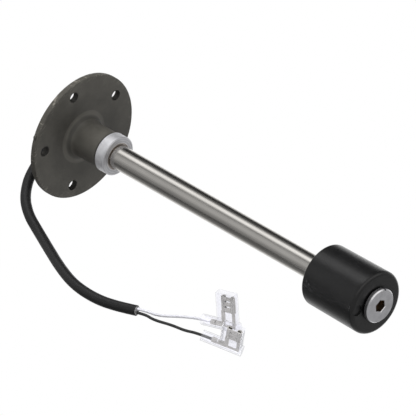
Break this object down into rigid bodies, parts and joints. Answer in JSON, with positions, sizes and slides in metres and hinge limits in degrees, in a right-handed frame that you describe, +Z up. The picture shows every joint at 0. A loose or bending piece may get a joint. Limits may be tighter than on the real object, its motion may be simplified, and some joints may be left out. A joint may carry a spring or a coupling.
{
  "type": "fuel level sender",
  "caption": "Tube-type fuel level sender: round bolt-on flange, straight stem with a sliding ring float, and a two-core lead with flag terminals.",
  "frame": {"origin": "centre of the flange's tank-side face, on the stem's axis", "axes": "+Z up out of the tank along the stem, +X towards the single bolt hole opposite the wide gap; the cable leaves over that gap, towards -X"},
  "size_m": [0.1104, 0.0754, 0.236],
  "materials": {
    "moulding": "matt dark grey moulding",
    "aluminium": "turned, satin",
    "stainless": "drawn, satin",
    "seal_rubber": "matt",
    "float_black": "black satin, closed-cell",
    "ferrite": "dark grey sintered",
    "board_green": "green laminate",
    "spacer_white": "natural plastic",
    "sleeve_clear": "clear film",
    "capsule_glass": "greenish glass",
    "tin": "tin plated",
    "resistor_tan": "lacquered",
    "core_white": "white insulation",
    "core_black": "black insulation",
    "potting_black": "cast resin",
    "cable_black": "black jacket, satin",
    "boot_clear": "clear soft vinyl"
  },
  "bodies": {
    "sender": {"flange": "moulding", "gland_collar": "aluminium", "tube_seal": "seal_rubber", "stem_tube": "stainless", "end_plug": "stainless", "plug_seal": "seal_rubber", "circuit_board": "board_green", "upper_spacer": "spacer_white", "lower_spacer": "spacer_white", "insulating_sleeve": "sleeve_clear", "reed_capsules": "capsule_glass", "reed_leads": "tin", "solder_joints": "tin", "resistors": "resistor_tan", "inner_lead_white": "core_white", "inner_lead_black": "core_black", "strain_relief": "seal_rubber", "potting": "potting_black", "cable_jacket": "cable_black", "white_wire": "core_white", "black_wire": "core_black", "white_terminal": "tin", "white_boot": "boot_clear", "black_terminal": "tin", "black_boot": "boot_clear"},
    "float_carrier": {"float_magnet": "ferrite"},
    "float": {"float_body": "float_black"}
  },
  "joints": [
    {"name": "float_slide", "type": "slide", "parent": "sender", "child": "float_carrier", "axis": [0, 0, 1], "range_m": [0, 0.1504]},
    {"name": "float_spin", "type": "hinge", "parent": "float_carrier", "child": "float", "pos_m": [0, 0, -0.194], "axis": [0, 0, 1], "continuous": true}
  ]
}
